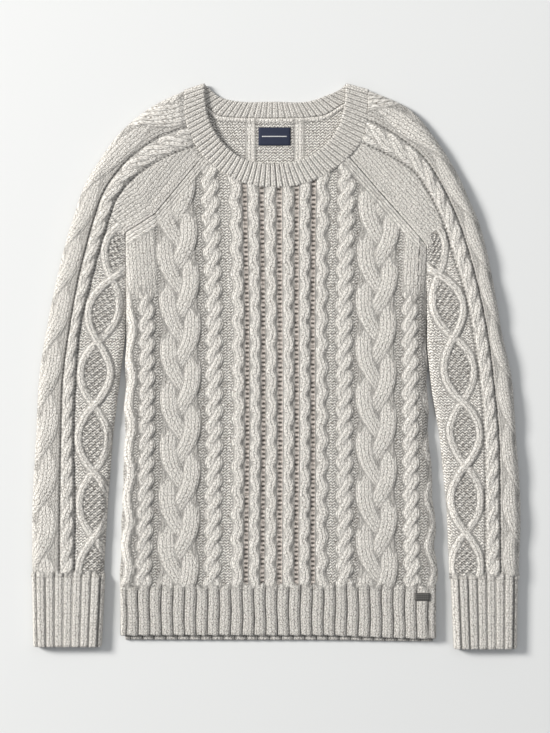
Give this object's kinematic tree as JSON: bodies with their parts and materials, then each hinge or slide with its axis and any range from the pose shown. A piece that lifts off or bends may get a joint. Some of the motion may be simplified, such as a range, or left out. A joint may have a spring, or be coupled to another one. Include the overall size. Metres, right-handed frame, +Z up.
{
  "type": "cable knit sweater",
  "caption": "Crew-neck cable knit sweater with raglan sleeves, ribbed neckband, cuffs and hem, laid flat with its sleeves folded down beside the body.",
  "frame": {"origin": "middle of the sweater's bounding box, on the surface it lies on", "axes": "+Y from the hem towards the collar, +Z up from the surface through the front, +X towards the sleeve at the viewer's right"},
  "size_m": [0.5754, 0.6682, 0.015],
  "materials": {
    "knit_body": "heathered wool knit",
    "knit_rib": "heathered wool rib knit",
    "label_weave": "woven satin label",
    "tab_weave": "woven tab"
  },
  "bodies": {
    "root": {"front_panel": "knit_body", "back_panel": "knit_body", "sleeve_left": "knit_body", "sleeve_right": "knit_body", "hem_rib_front": "knit_rib", "hem_rib_back": "knit_rib", "cuff_left": "knit_rib", "cuff_right": "knit_rib", "neckband": "knit_rib", "neck_label": "label_weave", "hem_tab": "tab_weave"}
  },
  "joints": []
}
